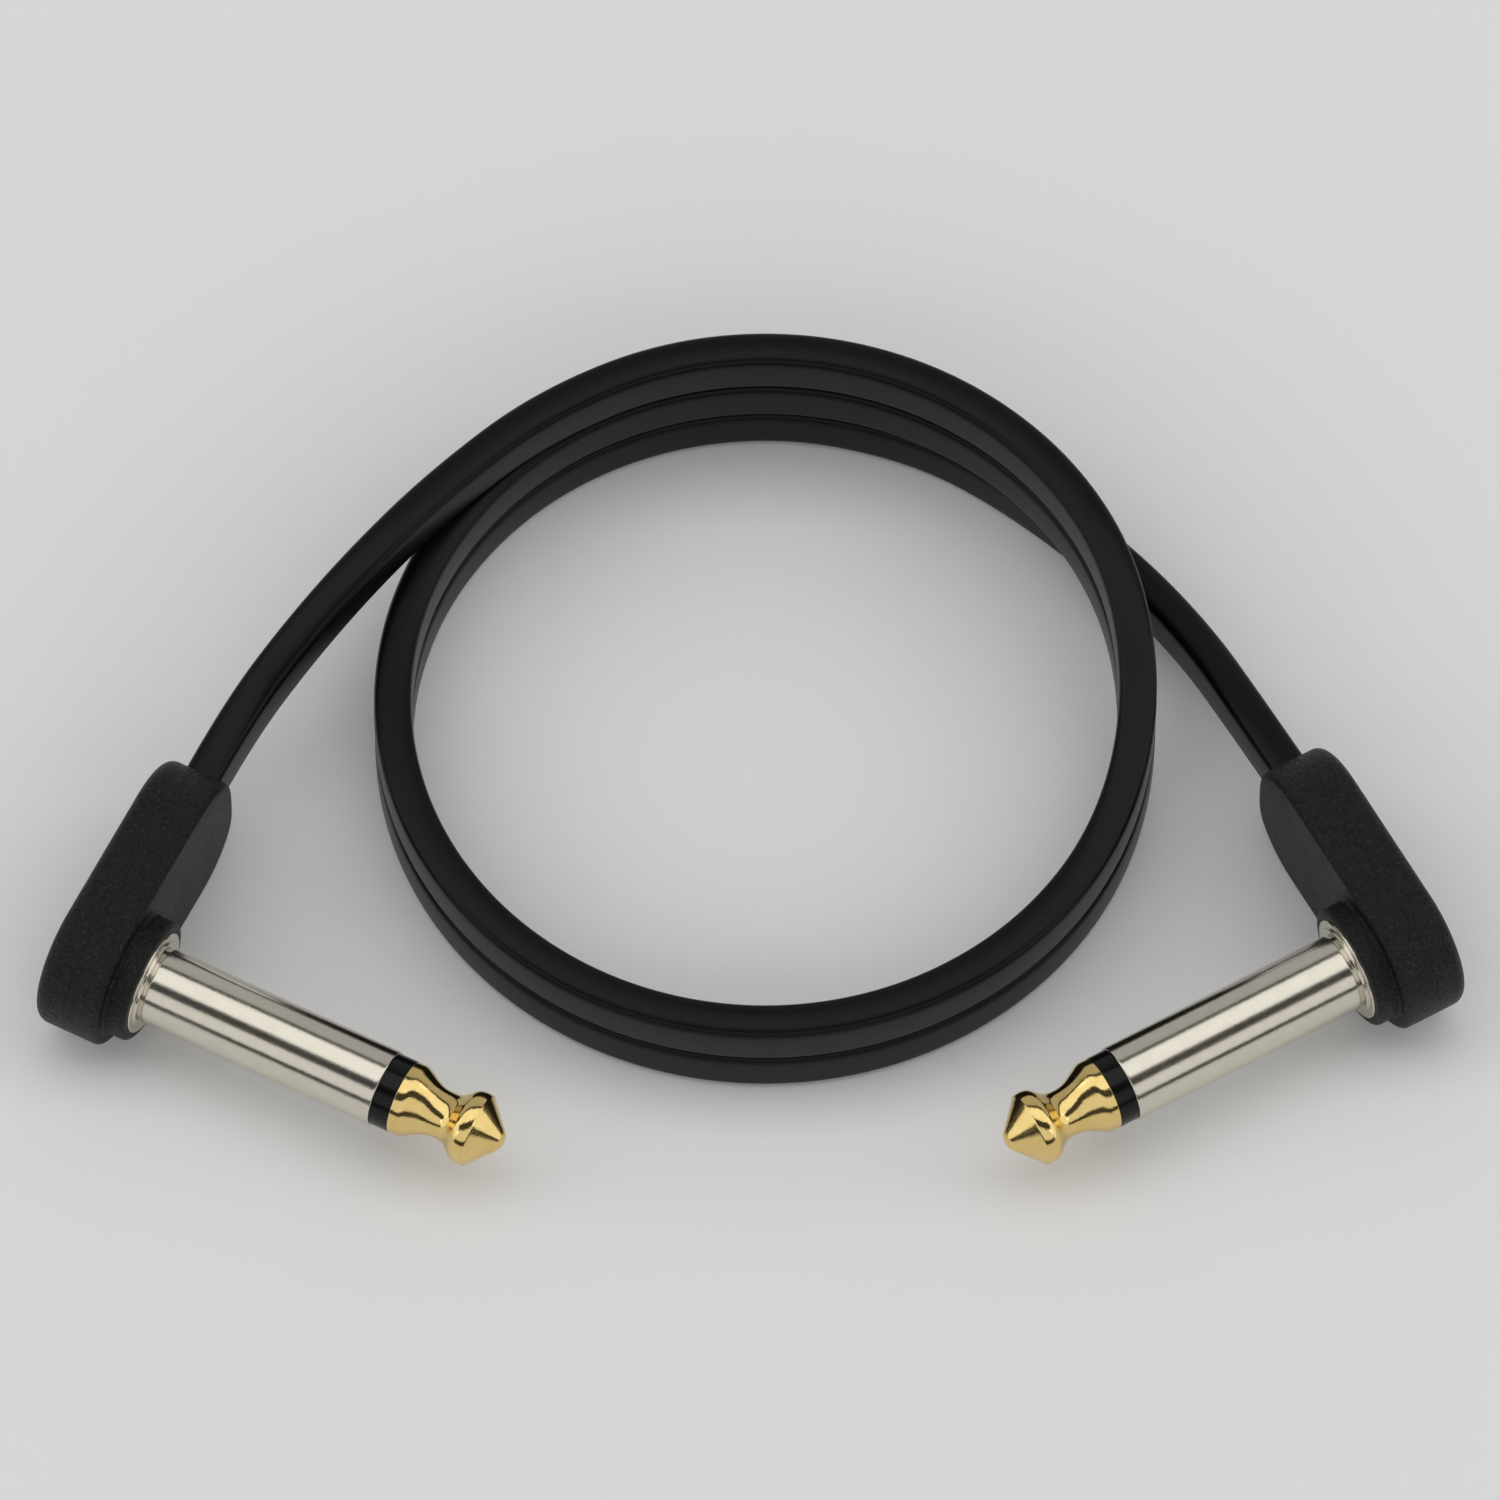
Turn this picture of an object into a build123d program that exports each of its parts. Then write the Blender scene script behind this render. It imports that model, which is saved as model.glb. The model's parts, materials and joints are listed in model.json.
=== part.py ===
# Instrument patch cable: a flat lead, wound in a low coil, with a moulded right-angle plug on each end.
# Millimetres, +Z up. The plugs and the coil rest on Z = 0, and the lead stands on its narrow edge.
# The origin is on that surface, below the middle of the two plugs.
from build123d import *
import os
from math import ceil, radians, sqrt, tan

# Lead: a flat jacket with one screened core in its middle
lead_width = 4.5            # upright, because the lead stands on its edge
lead_thickness = 3.05
lead_corner = 0.6
core_radius = 0.75          # insulation round the conductor
conductor_radius = 0.3
screen_thickness = 0.2

# Coil: two turns all round, with a third on the far side
coil_centre = (1.14, 22.58)
coil_radius = 29.3          # to the middle of the lead's thickness
crossing_gap = 0.1          # air between the coil and an end of the lead that crosses it
top_end_angle = 132         # where the left end joins the top turn
bottom_end_angle = 60       # where the right end leaves the bottom turn
ramp_start_angle = 18       # the coil steps down onto the table from here ...
ramp_end_angle = -20        # ... to here
ramp_sections = 7
tail_step = 2.5             # between the sections that shape a free end

# Plugs: the place of each flange on the table and the way its barrel points, in degrees from +X
left_flange = (-47.20, -1.91)
left_heading = -26.93
right_flange = (47.13, -0.68)
right_heading = -150.45

# Plug body, moulded over everything inside it
body_radius = 6.3           # half its height, and the round end about the barrel
body_thickness = 5.6
body_length = 17.4          # from the barrel's axis to the flat where the lead leaves
nose_length = 5.5           # the rounded end round that flat
nose_flat = 5.2
back_round = 1.0
front_round = 0.5
boss_radius = 5.1           # raised ring behind the flange
boss_height = 2.0
boss_round = 0.4            # round its front edge and at its root
flange_stand = 0.15         # how far the flange stands proud of the boss
wall = 1.1                  # moulding round the inner block
face_wall = 0.7             # moulding in front of and behind the inner block

# Barrel, the earth contact
barrel_radius = 3.175
barrel_length = 20.64       # flange to insulating ring
barrel_edge = 0.08
flange_radius = 4.3
flange_thickness = 0.5
step_radius = 3.7
step_height = 0.2
neck_radius = 3.0
neck_length = 0.25
shank_radius = 2.9
shank_length = 2.4
spigot_radius = 2.3
fit_gap = 0.02              # between turned and stamped pieces

# Insulators
ring_radius = 3.02
ring_length = 1.6
tube_wall = 0.5
washer_radius = 2.7
washer_thickness = 0.45

# Tip contact, with the rod that carries it through the barrel
rod_radius = 1.15
tip_length = 9.0
waist_radius = 1.96
tip_collar = 0.85           # this and the next five lengths are measured from the front of the insulating ring
waist_start = 2.75
waist_end = 4.35
bulb_start = 5.45
bulb_middle = 6.15
bulb_end = 6.8
bulb_radius = 3.15
bulb_crown = 0.15           # how much fuller the bulb is in the middle
nose_radius = 0.35
head_radius = 1.7
head_height = 0.5

# Solder lugs and joints
lug_thickness = 0.3
lug_width = 1.8
tip_lug_radius = 2.4
tip_lug_length = 6.9
earth_lug_radius = 3.6
earth_lug_length = 9.2
earth_lug_side = 2.9        # from the body's middle to the middle of the lug's tail
solder_height = 0.85

# Stripped end of the lead inside the plug, measured back from the flat where it leaves
jacket_inside = 5.0
core_inside = 8.8
conductor_inside = 13.0
pigtail_radius = 0.45
collar_radius = 1.45        # screen combed back round the core
collar_length = 0.5

# Worked out from the above, along the barrel's axis with the flange's front at 0
body_front = -boss_height
body_back = body_front - body_thickness
lead_depth = (body_front + body_back) / 2
spigot_front = -flange_thickness - shank_length
spigot_back = spigot_front - lug_thickness - 2 * fit_gap
washer_back = spigot_back - washer_thickness
tip_lug_back = washer_back - lug_thickness
tube_inner = rod_radius + fit_gap
tube_outer = tube_inner + tube_wall
ring_front = barrel_length + ring_length
stack_lift = lead_width + crossing_gap


def plug_plane(flange, heading, turned_over):
    """A plug's own frame: Z along the barrel towards the tip, X towards the lead, origin on the flange."""
    tipward = Vector(1, 0, 0).rotate(Axis.Z, heading)
    leadward = tipward.rotate(Axis.Z, -90 if turned_over else 90)
    return Plane(origin=(*flange, body_radius), x_dir=leadward, z_dir=tipward)


def profile_plane(plug):
    """The plane that turned profiles are drawn in: X along the barrel, Y outwards."""
    return Plane(origin=plug.origin, x_dir=plug.z_dir, z_dir=plug.y_dir)


def rearward_plane(plug, depth):
    """A plane across the plug that faces away from the tip."""
    return Plane(origin=plug.offset(depth).origin, x_dir=plug.x_dir, z_dir=-plug.z_dir)


def lead_plane(plug, inside=0.0):
    """A plane across the lead, facing out of the plug, some way inside the flat where it leaves."""
    origin = plug.origin + plug.x_dir * (body_length - inside) + plug.z_dir * lead_depth
    return Plane(origin=origin, x_dir=plug.z_dir, z_dir=plug.x_dir)


def in_plug(plug, along, side, depth):
    """A point given in the plug's own frame."""
    return plug.origin + plug.x_dir * along + plug.y_dir * side + plug.z_dir * depth


def side_view(inset=0.0):
    """Side view of the body, or of the block inside it: a round end, straight sides and a blunt nose."""
    half = body_radius - inset
    shoulder = body_length - nose_length
    nose_reach = nose_length / sqrt(1 - (nose_flat / 2 / body_radius) ** 2) - inset
    with BuildSketch() as view:
        Circle(half)
        with Locations((shoulder / 2, 0)):
            Rectangle(shoulder, 2 * half)
        with Locations((shoulder, 0)):
            Ellipse(nose_reach, half)
        with Locations((body_length - inset, 0)):
            Rectangle(nose_length, 2 * half, align=(Align.MIN, Align.CENTER), mode=Mode.SUBTRACT)
    return view.sketch


def draw_lead_section():
    """Section of the lead, with its thickness along X and its width along Y."""
    RectangleRounded(lead_thickness, lead_width, lead_corner)


def corner_radii(points):
    """Radius of each corner of a route: as large as the two runs beside it allow."""
    radii = []
    for before, corner, after in zip(points, points[1:], points[2:]):
        run_in = Vector(*corner) - Vector(*before)
        run_out = Vector(*after) - Vector(*corner)
        half_turn = radians(run_in.get_angle(run_out) / 2)
        radii.append(0.45 * min(run_in.length, run_out.length) / tan(half_turn))
    return radii


def make_sleeve(plug):
    """The turned barrel, with its flange and the shank that the body is moulded round."""
    step_front = step_height
    neck_front = step_height + neck_length
    with BuildPart() as sleeve:
        with BuildSketch(profile_plane(plug)):
            with BuildLine():
                Polyline(
                    (spigot_back, tube_outer + fit_gap),
                    (spigot_back, spigot_radius),
                    (spigot_front, spigot_radius),
                    (spigot_front, shank_radius),
                    (-flange_thickness, shank_radius),
                    (-flange_thickness, flange_radius),
                    (-barrel_edge, flange_radius),
                    (0, flange_radius - barrel_edge),
                    (0, step_radius),
                    (step_front, step_radius),
                    (step_front, neck_radius),
                    (neck_front, neck_radius),
                    (neck_front, barrel_radius - barrel_edge),
                    (neck_front + barrel_edge, barrel_radius),
                    (barrel_length - barrel_edge, barrel_radius),
                    (barrel_length, barrel_radius - barrel_edge),
                    (barrel_length, tube_outer + fit_gap),
                    close=True,
                )
            make_face()
        revolve(axis=Axis(plug.origin, plug.z_dir))
    return sleeve.part


def make_insulating_ring(plug):
    """The black ring between the barrel and the tip."""
    with BuildPart() as ring:
        with BuildSketch(plug.offset(barrel_length)):
            Circle(ring_radius)
            Circle(tube_inner, mode=Mode.SUBTRACT)
        extrude(amount=ring_length)
    return ring.part


def make_insulating_tube(plug):
    """The tube that keeps the rod off the barrel."""
    with BuildPart() as tube:
        with BuildSketch(plug.offset(spigot_back)):
            Circle(tube_outer)
            Circle(tube_inner, mode=Mode.SUBTRACT)
        extrude(amount=barrel_length - spigot_back)
    return tube.part


def make_tip(plug):
    """The tip contact: collar, waist, bulb and blunt cone in front, rod and riveted head behind."""
    with BuildPart() as tip:
        with BuildSketch(profile_plane(plug)):
            with BuildLine():
                Polyline(
                    (ring_front + tip_length, nose_radius),
                    (ring_front + tip_length, 0),
                    (tip_lug_back - head_height, 0),
                    (tip_lug_back - head_height, head_radius),
                    (tip_lug_back, head_radius),
                    (tip_lug_back, rod_radius),
                    (ring_front, rod_radius),
                    (ring_front, ring_radius),
                )
                FilletPolyline(
                    (ring_front, ring_radius),
                    (ring_front + tip_collar, ring_radius),
                    (ring_front + waist_start, waist_radius),
                    (ring_front + waist_end, waist_radius),
                    (ring_front + bulb_start, bulb_radius - bulb_crown),
                    (ring_front + bulb_middle, bulb_radius),
                    (ring_front + bulb_end, bulb_radius - bulb_crown),
                    (ring_front + tip_length, nose_radius),
                    radius=[0.7, 2.2, 1.4, 0.8, 1.8, 0.2],
                )
            make_face()
        revolve(axis=Axis(plug.origin, plug.z_dir))
    return tip.part


def make_rear_washer(plug):
    """The washer that keeps the tip's lug off the barrel."""
    with BuildPart() as washer:
        with BuildSketch(plug.offset(washer_back)):
            Circle(washer_radius)
            Circle(tube_inner, mode=Mode.SUBTRACT)
        extrude(amount=washer_thickness)
    return washer.part


def make_tip_lug(plug):
    """The lug under the riveted head, with the tongue that the conductor is soldered to."""
    with BuildPart() as lug:
        with BuildSketch(plug.offset(tip_lug_back)):
            Circle(tip_lug_radius)
            with Locations((tip_lug_length / 2, 0)):
                RectangleRounded(tip_lug_length, lug_width, 0.4)
            Circle(tube_inner, mode=Mode.SUBTRACT)
        extrude(amount=lug_thickness)
    return lug.part


def make_earth_lug(plug):
    """The lug swaged round the barrel's spigot, with a tongue beside the core for the screen."""
    with BuildPart() as lug:
        with BuildSketch(plug.offset(spigot_front - fit_gap - lug_thickness)):
            Circle(earth_lug_radius)
            with Locations((earth_lug_length / 2, earth_lug_side)):
                RectangleRounded(earth_lug_length, lug_width, 0.4)
            Circle(spigot_radius + fit_gap, mode=Mode.SUBTRACT)
        extrude(amount=lug_thickness)
    return lug.part


def make_jacket_end(plug):
    """The last of the lead's jacket, held in the body."""
    with BuildPart() as jacket:
        with BuildSketch(lead_plane(plug, jacket_inside)):
            draw_lead_section()
            Circle(core_radius + screen_thickness, mode=Mode.SUBTRACT)
        extrude(amount=jacket_inside)
    return jacket.part


def make_screen(plug):
    """The screen: woven round the core in the jacket, then combed back and twisted to the earth lug."""
    lug_back = spigot_front - fit_gap - lug_thickness
    root = body_length - jacket_inside - collar_length / 2
    route = [
        in_plug(plug, root, core_radius + pigtail_radius + 0.05, lead_depth),
        in_plug(plug, root - 1.3, core_radius + pigtail_radius + 0.3, lead_depth),
        in_plug(plug, root - 2.6, earth_lug_side, lug_back - pigtail_radius),
        in_plug(plug, earth_lug_length - 1.9, earth_lug_side, lug_back - pigtail_radius),
    ]
    with BuildPart() as screen:
        with BuildSketch(lead_plane(plug, jacket_inside)):
            Circle(core_radius + screen_thickness)
            Circle(core_radius, mode=Mode.SUBTRACT)
        extrude(amount=jacket_inside)
        with BuildSketch(lead_plane(plug, jacket_inside + collar_length)):
            Circle(collar_radius)
            Circle(core_radius, mode=Mode.SUBTRACT)
        extrude(amount=collar_length)
        with BuildLine() as pigtail:
            FilletPolyline(*route, radius=0.8)
        with BuildSketch(Plane(origin=route[0], z_dir=pigtail.line % 0)):
            Circle(pigtail_radius)
        sweep(path=pigtail.line)
    return screen.part


def make_conductor(plug):
    """The conductor, bared and laid along the tip's lug."""
    depth = tip_lug_back - conductor_radius
    bend = body_length - core_inside
    route = [
        in_plug(plug, body_length, 0, lead_depth),
        in_plug(plug, bend - 0.7, 0, lead_depth),
        in_plug(plug, bend - 1.9, 0, depth),
        in_plug(plug, body_length - conductor_inside, 0, depth),
    ]
    with BuildPart() as conductor:
        with BuildLine() as run:
            FilletPolyline(*route, radius=0.8)
        with BuildSketch(Plane(origin=route[0], z_dir=run.line % 0)):
            Circle(conductor_radius)
        sweep(path=run.line)
    return conductor.part


def make_core(plug, conductor):
    """The insulation round the conductor."""
    with BuildPart() as core:
        with BuildSketch(lead_plane(plug, core_inside)):
            Circle(core_radius)
        extrude(amount=core_inside)
        add(conductor, mode=Mode.SUBTRACT)
    return core.part


def make_solder(plug, along, side, face, size, wire):
    """A mound of solder over a wire on the back of a lug."""
    with BuildPart() as solder:
        for height, spread in ((0, 1), (solder_height * 0.6, 0.85), (solder_height, 0.4)):
            with BuildSketch(rearward_plane(plug, face - height)):
                with Locations((along, -side)):
                    Ellipse(size[0] * spread, size[1] * spread)
        loft()
        add(wire, mode=Mode.SUBTRACT)
    return solder.part


def make_inner_block(plug, buried):
    """The first moulding, which seals the joints before the body goes over it."""
    with BuildPart() as block:
        with BuildSketch(plug.offset(body_back + face_wall)):
            add(side_view(wall))
        extrude(amount=body_thickness - 2 * face_wall)
        add(buried, mode=Mode.SUBTRACT)
        with BuildSketch(plug.offset(spigot_back)):
            Circle(spigot_radius + fit_gap)
        extrude(amount=body_front - spigot_back, mode=Mode.SUBTRACT)
        with BuildSketch(plug.offset(tip_lug_back)):
            Circle(tube_inner)
        extrude(amount=spigot_back - tip_lug_back, mode=Mode.SUBTRACT)
    return block.part


def make_housing(plug):
    """The moulded body, with the raised boss round the flange."""
    tipward = Axis(plug.origin, plug.z_dir)
    with BuildPart() as housing:
        with BuildSketch(plug.offset(body_back)):
            add(side_view())
        extrude(amount=body_thickness)
        fillet(housing.faces().sort_by(tipward)[0].edges(), back_round)
        fillet(housing.faces().sort_by(tipward)[-1].edges(), front_round)
        with BuildSketch(plug.offset(body_front)):
            Circle(boss_radius)
        extrude(amount=boss_height - flange_stand)
        rims = housing.edges().filter_by(GeomType.CIRCLE)
        fillet(rims.filter_by(lambda edge: abs(edge.radius - boss_radius) < 0.001), boss_round)
        with BuildSketch(plug.offset(body_back + face_wall)):
            add(side_view(wall))
        extrude(amount=body_thickness - 2 * face_wall, mode=Mode.SUBTRACT)
        with BuildSketch(plug.offset(-flange_thickness)):
            Circle(flange_radius)
        extrude(amount=flange_thickness, mode=Mode.SUBTRACT)
        with BuildSketch(plug.offset(spigot_front)):
            Circle(shank_radius)
        extrude(amount=shank_length, mode=Mode.SUBTRACT)
        with BuildSketch(lead_plane(plug, jacket_inside)):
            draw_lead_section()
        extrude(amount=jacket_inside, mode=Mode.SUBTRACT)
    return housing.part


def coil_point(angle, height):
    """A point on the middle line of the coil."""
    spoke = Vector(coil_radius, 0, 0).rotate(Axis.Z, angle)
    return Vector(*coil_centre, height) + spoke


def coil_plane(angle, height):
    """A plane across the coil: X outwards, Y up."""
    outward = Vector(1, 0, 0).rotate(Axis.Z, angle)
    return Plane(origin=coil_point(angle, height), x_dir=outward, z_dir=outward.rotate(Axis.Z, -90))


def make_coil():
    """The outer shape of the wound turns: two high all round, three high where both ends overlap."""
    axis = Axis((*coil_centre, 0), (0, 0, 1))
    two_high = 2 * lead_width
    three_high = two_high + stack_lift
    ramp_turn = (ramp_start_angle - ramp_end_angle) / (ramp_sections - 1)
    with BuildPart() as coil:
        with BuildSketch(coil_plane(top_end_angle, lead_width)):
            RectangleRounded(lead_thickness, two_high, lead_corner)
        revolve(axis=axis, revolution_arc=360 + ramp_end_angle - top_end_angle)
        with BuildSketch(coil_plane(ramp_start_angle, lead_width + stack_lift)):
            RectangleRounded(lead_thickness, two_high, lead_corner)
        revolve(axis=axis, revolution_arc=bottom_end_angle - ramp_start_angle)
        with BuildSketch(coil_plane(bottom_end_angle, three_high / 2)):
            RectangleRounded(lead_thickness, three_high, lead_corner)
        revolve(axis=axis, revolution_arc=top_end_angle - bottom_end_angle)
        for step in range(ramp_sections):
            angle = ramp_start_angle - step * ramp_turn
            height = lead_width + stack_lift * (1 - step / (ramp_sections - 1))
            with BuildSketch(coil_plane(angle, height)):
                RectangleRounded(lead_thickness, two_high, lead_corner)
        loft(ruled=True)
    return coil.part


def make_tail(name, points):
    """A free end of the lead, from a plug to the coil, standing on its edge all the way."""
    radii = corner_radii(points)
    with BuildPart() as tail:
        with BuildLine() as route:
            FilletPolyline(*points, radius=radii)
        path = route.wire()
        stations = ceil(path.length / tail_step)
        for station in range(stations + 1):
            along = path % (station / stations)
            level = Vector(along.X, along.Y, 0)
            centre = path @ (station / stations)
            with BuildSketch(Plane(origin=centre, x_dir=level.rotate(Axis.Z, -90), z_dir=level)) as section:
                draw_lead_section()
        loft()
    print(name, "radii", [round(radius, 1) for radius in radii], "length", round(path.length, 1))
    print(name, "volume", round(tail.part.volume, 1), "against",
          round(section.sketch.area * path.length, 1), "valid", tail.part.is_valid)
    return tail.part


def write_piece(name, piece):
    piece.label = name
    export_step(piece, f"parts/{name}.step")


def write_plug(side, plug):
    """Every piece of one plug."""
    sleeve = make_sleeve(plug)
    tube = make_insulating_tube(plug)
    tip = make_tip(plug)
    washer = make_rear_washer(plug)
    tip_lug = make_tip_lug(plug)
    earth_lug = make_earth_lug(plug)
    jacket = make_jacket_end(plug)
    screen = make_screen(plug)
    conductor = make_conductor(plug)
    core = make_core(plug, conductor)
    earth_face = spigot_front - fit_gap - lug_thickness
    tip_solder = make_solder(plug, tip_lug_length - 1.3, 0, tip_lug_back, (1.1, 0.85), conductor)
    earth_solder = make_solder(plug, earth_lug_length - 1.4, earth_lug_side, earth_face, (1.2, 0.85), screen)
    buried = [sleeve, tube, tip, washer, tip_lug, earth_lug, jacket, screen, conductor, core, tip_solder, earth_solder]
    write_piece(f"{side}_housing", make_housing(plug))
    write_piece(f"{side}_inner_block", make_inner_block(plug, buried))
    write_piece(f"{side}_sleeve", sleeve)
    write_piece(f"{side}_insulating_ring", make_insulating_ring(plug))
    write_piece(f"{side}_insulating_tube", tube)
    write_piece(f"{side}_tip", tip)
    write_piece(f"{side}_rear_washer", washer)
    write_piece(f"{side}_tip_lug", tip_lug)
    write_piece(f"{side}_earth_lug", earth_lug)
    write_piece(f"{side}_jacket_end", jacket)
    write_piece(f"{side}_screen", screen)
    write_piece(f"{side}_core", core)
    write_piece(f"{side}_conductor", conductor)
    write_piece(f"{side}_tip_solder", tip_solder)
    write_piece(f"{side}_earth_solder", earth_solder)


os.makedirs("parts", exist_ok=True)
left_plug = plug_plane(left_flange, left_heading, turned_over=False)
right_plug = plug_plane(right_flange, right_heading, turned_over=True)
write_plug("left", left_plug)
write_plug("right", right_plug)

# Each end of the lead, from its plug to the coil. The points between are chosen by hand.
left_exit = lead_plane(left_plug).origin
right_exit = lead_plane(right_plug).origin
top_turn = lead_width * 2.5 + crossing_gap
bottom_turn = lead_width / 2
first_run = 6.0
left_join = coil_point(top_end_angle, top_turn)
right_join = coil_point(bottom_end_angle, bottom_turn)
left_route = [
    tuple(left_exit),
    tuple(left_exit + left_plug.x_dir * first_run + Vector(0, 0, 0.5)),
    (-36.3, 27.5, 9.3),
    (-30.5, 33.2, top_turn),
    tuple(left_join - coil_plane(top_end_angle, 0).z_dir * 7.5),
    tuple(left_join),
]
right_route = [
    tuple(right_exit),
    tuple(right_exit + right_plug.x_dir * first_run - Vector(0, 0, 0.5)),
    (35.25, 29.85, 3.7),
    (29.6, 37.5, bottom_turn),
    tuple(right_join + coil_plane(bottom_end_angle, 0).z_dir * 6.5),
    tuple(right_join),
]
write_piece("lead_left_end", make_tail("left end", left_route))
write_piece("lead_coil", make_coil())
write_piece("lead_right_end", make_tail("right end", right_route))
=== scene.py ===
import json
from math import cos, exp, log, pi, radians, sin, sqrt, tan

import bpy
from mathutils import Matrix, Vector


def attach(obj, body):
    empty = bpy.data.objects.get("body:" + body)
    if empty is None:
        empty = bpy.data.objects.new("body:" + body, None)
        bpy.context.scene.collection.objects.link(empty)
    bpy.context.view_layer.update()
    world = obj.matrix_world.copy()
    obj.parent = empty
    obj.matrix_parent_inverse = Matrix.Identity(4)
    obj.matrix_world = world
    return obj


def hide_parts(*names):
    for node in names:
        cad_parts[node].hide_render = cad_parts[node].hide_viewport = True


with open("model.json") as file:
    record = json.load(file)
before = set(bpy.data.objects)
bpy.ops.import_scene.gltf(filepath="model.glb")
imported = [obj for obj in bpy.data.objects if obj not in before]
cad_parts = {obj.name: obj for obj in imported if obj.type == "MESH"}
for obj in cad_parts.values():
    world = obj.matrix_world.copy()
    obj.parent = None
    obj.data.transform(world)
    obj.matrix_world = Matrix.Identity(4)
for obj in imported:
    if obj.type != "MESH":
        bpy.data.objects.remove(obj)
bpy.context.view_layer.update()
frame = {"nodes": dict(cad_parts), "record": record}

MM = 0.001

# Lead: a flat jacket that stands on its edge
LEAD_WIDTH = 4.5
LEAD_THICKNESS = 3.05
LEAD_CROWN = 2.5            # the narrow edges: 2 is round, more is flatter
LEAD_FLATNESS = 8.0         # the wide faces
SECTION_STEPS = 56
LEAD_SMOOTH_ANGLE = 50
LEAD_TUCK = 0.4             # how far the lead's skin goes on into the plug's body

# Coil
COIL_CENTRE = (1.14, 22.68)
COIL_RADIUS = (29.65, 29.1) # across and along the table: the coil has settled a little oval
CROSSING_GAP = 0.1
COIL_STEPS = 36             # points of the coil, a little over twice round
ROUTE_RESOLUTION = 12
COIL_START = 126.0
COIL_END = -654.0
RAMP_START = 18.0           # each turn steps down between these two angles
RAMP_END = -20.0

# Free ends of the lead
LEAD_TOP = 2.5 * LEAD_WIDTH + CROSSING_GAP      # height of the middle line in the top pass
LEAD_BOTTOM = LEAD_WIDTH / 2                    # and in the bottom one
STRAIGHT_RUN = 6.0          # how far the lead comes straight out of the body
STRAIGHT_RISE = 0.5
LEFT_END_POINTS = ((-36.0, 27.2, 9.3), (-30.5, 33.2, LEAD_TOP), (-24.5, 39.8, LEAD_TOP))
RIGHT_END_POINTS = ((21.4, 44.9, LEAD_BOTTOM), (29.8, 37.6, LEAD_BOTTOM), (35.55, 30.05, 3.7))

# Plug, in its own frame: along the barrel from the flange's front, and from its axis towards the lead
BARREL_WALL_MIDDLE = 10.545
BODY_RADIUS = 6.3
BODY_LENGTH = 17.4
BODY_FRONT = -2.0
BODY_BACK = -7.6
NOSE_LENGTH = 5.5
NOSE_FLAT = 5.2
NOSE_SOFTNESS = 0.35        # rounds the corner between the nose and its flat
WALL = 1.1
FACE_WALL = 0.7
FIT_GAP = 0.02
BACK_ROUND = 1.0
FRONT_ROUND = 0.45
SEAM_DEPTH = 0.03           # parting line of the moulding
SEAM_HALF_WIDTH = 0.05
HOLD = 0.1                  # keeps a flat face flat beside a rounded edge
BOSS_RADIUS = 5.1
BOSS_TOP = -0.15
BOSS_ROUND = 0.4
BOSS_ROOT = 0.25
FLANGE_RADIUS = 4.3
FLANGE_THICKNESS = 0.5
LEAD_DEPTH = (BODY_FRONT + BODY_BACK) / 2
BARREL_RADIUS = 3.175
BARREL_LENGTH = 20.64
STEP_RADIUS = 3.7
STEP_HEIGHT = 0.2
NECK_RADIUS = 3.0
NECK_LENGTH = 0.25
SHANK_RADIUS = 2.9
SPIGOT_RADIUS = 2.3
SPIGOT_FRONT = -2.9
SPIGOT_BACK = -3.24
TUBE_BORE = 1.69
RING_RADIUS = 3.02
RING_LENGTH = 1.6
RING_FRONT = BARREL_LENGTH + RING_LENGTH
BORE_RADIUS = 1.17
ROD_RADIUS = 1.15
HEAD_RADIUS = 1.7
HEAD_HEIGHT = 0.5
TIP_LUG_BACK = -3.99
TIP_COLLAR = 0.85           # these are measured from the front of the insulating ring
WAIST_START = 2.75
WAIST_END = 4.35
BULB_START = 5.45
BULB_MIDDLE = 6.15
BULB_END = 6.62
TIP_LENGTH = 8.85
TIP_END_RADIUS = 0.55
WAIST_RADIUS = 1.96
BULB_RADIUS = 3.15
BULB_CROWN = 0.15
TURNED_STEPS = 192
OUTLINE_STEPS = 480

# Camera, in degrees and metres
CAMERA_TARGET = (-0.00006, 0.02238, 0)
CAMERA_ELEVATION = 62
CAMERA_DISTANCE = 1.6
CAMERA_LENS = 480
CAMERA_SENSOR = 36

# Studio, in metres: where each long panel starts and ends, in degrees from the front over the top
# to the back, and how bright it looks
PANELS = ((17, 56, 0.78), (80, 121, 1.1), (131, 176, 0.42))
PANEL_DISTANCE = 1.0
PANEL_LENGTH = 3.0
SIDE_BOX_AZIMUTH = 84
SIDE_BOX_ELEVATION = 19
SIDE_BOX_DISTANCE = 1.3
SIDE_BOX_SIZE = (1.1, 0.84)
SIDE_BOX_BRIGHTNESS = 1.0
LIGHT_TARGET = (0, 0.01, 0)
SKY_COLOUR = (1, 0.97, 0.93, 1)
SKY_BRIGHTNESS = 0.05
FLOOR_HALF = 3.0


# ---------------------------------------------------------------- camera, light and floor

def aim(thing, target):
    """Turn a camera or a light towards a point, with its top side up."""
    thing.rotation_euler = (target - thing.location).to_track_quat("-Z", "Y").to_euler()


def add_camera():
    """A long lens, well above the table, that looks at the middle of the cable."""
    target = Vector(CAMERA_TARGET)
    elevation = radians(CAMERA_ELEVATION)
    lens = bpy.data.cameras.new("camera")
    lens.sensor_width = CAMERA_SENSOR
    lens.lens = CAMERA_LENS
    camera = bpy.data.objects.new("camera", lens)
    camera.location = target + CAMERA_DISTANCE * Vector((0, -cos(elevation), sin(elevation)))
    aim(camera, target)
    bpy.context.scene.collection.objects.link(camera)
    bpy.context.scene.camera = camera


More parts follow.
